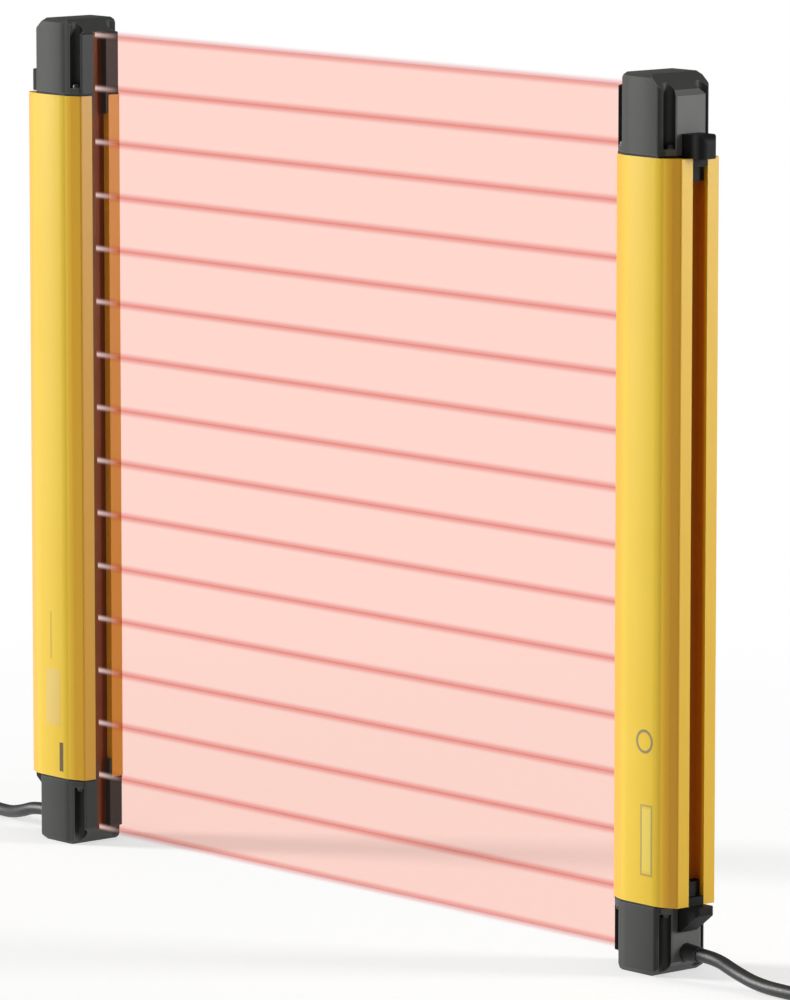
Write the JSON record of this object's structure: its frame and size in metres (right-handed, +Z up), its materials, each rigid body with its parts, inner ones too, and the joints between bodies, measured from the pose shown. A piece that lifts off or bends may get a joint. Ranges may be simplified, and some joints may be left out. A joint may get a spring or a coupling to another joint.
{
  "type": "safety light curtain",
  "caption": "Pair of upright yellow posts with dark end caps, back slots, facing tinted windows and short leads with round plugs; light beams cross the gap between them.",
  "frame": {"origin": "on the surface the two posts stand on, midway between them", "axes": "+X along the light beams from the transmitter to the receiver, +Z up, +Y across the posts"},
  "size_m": [0.674, 0.024, 0.312],
  "materials": {
    "housing": "satin yellow powder coat on extruded aluminium",
    "window": "deep red-brown clear plastic that lets the beams through",
    "seal": "soft black rubber strip",
    "cap": "fine-grained dark grey moulded plastic",
    "gasket": "soft black rubber sheet",
    "screw": "steel with a black finish and a cross recess",
    "slot_plug": "black rubber",
    "board": "green solder mask on glass-fibre board",
    "optics_holder": "flat black moulded plastic",
    "lens": "clear polished plastic",
    "emitter": "clear red epoxy",
    "photodiode": "dark daylight-filter epoxy",
    "chip": "black moulded epoxy",
    "lamp": "pale lens over a light-emitting diode",
    "socket": "cream nylon",
    "inner_lead": "bundled insulated wires",
    "strain_relief": "black moulded rubber",
    "cable": "satin black PVC jacket",
    "plug_body": "black moulded polyurethane",
    "coupling_nut": "nickel-plated brass",
    "contact_insert": "black nylon",
    "contact_pin": "gold-plated brass"
  },
  "bodies": {
    "root": {"transmitter_housing": "housing", "transmitter_window": "window", "transmitter_window_seals": "seal", "transmitter_top_cap": "cap", "transmitter_bottom_cap": "cap", "transmitter_top_gasket": "gasket", "transmitter_bottom_gasket": "gasket", "transmitter_cap_screws": "screw", "transmitter_top_slot_plug": "slot_plug", "transmitter_bottom_slot_plug": "slot_plug", "transmitter_circuit_board": "board", "transmitter_optics_holder": "optics_holder", "transmitter_lens_strip": "lens", "transmitter_board_chips": "chip", "transmitter_indicator_lamps": "lamp", "transmitter_board_socket": "socket", "transmitter_inner_lead": "inner_lead", "transmitter_strain_relief": "strain_relief", "transmitter_cable": "cable", "transmitter_plug_body": "plug_body", "transmitter_coupling_nut": "coupling_nut", "transmitter_contact_insert": "contact_insert", "transmitter_contact_pins": "contact_pin", "transmitter_emitters": "emitter", "receiver_housing": "housing", "receiver_window": "window", "receiver_window_seals": "seal", "receiver_top_cap": "cap", "receiver_bottom_cap": "cap", "receiver_top_gasket": "gasket", "receiver_bottom_gasket": "gasket", "receiver_cap_screws": "screw", "receiver_top_slot_plug": "slot_plug", "receiver_bottom_slot_plug": "slot_plug", "receiver_circuit_board": "board", "receiver_optics_holder": "optics_holder", "receiver_lens_strip": "lens", "receiver_board_chips": "chip", "receiver_indicator_lamps": "lamp", "receiver_board_socket": "socket", "receiver_inner_lead": "inner_lead", "receiver_strain_relief": "strain_relief", "receiver_cable": "cable", "receiver_plug_body": "plug_body", "receiver_coupling_nut": "coupling_nut", "receiver_contact_insert": "contact_insert", "receiver_contact_pins": "contact_pin", "receiver_photodiodes": "photodiode"}
  },
  "joints": []
}
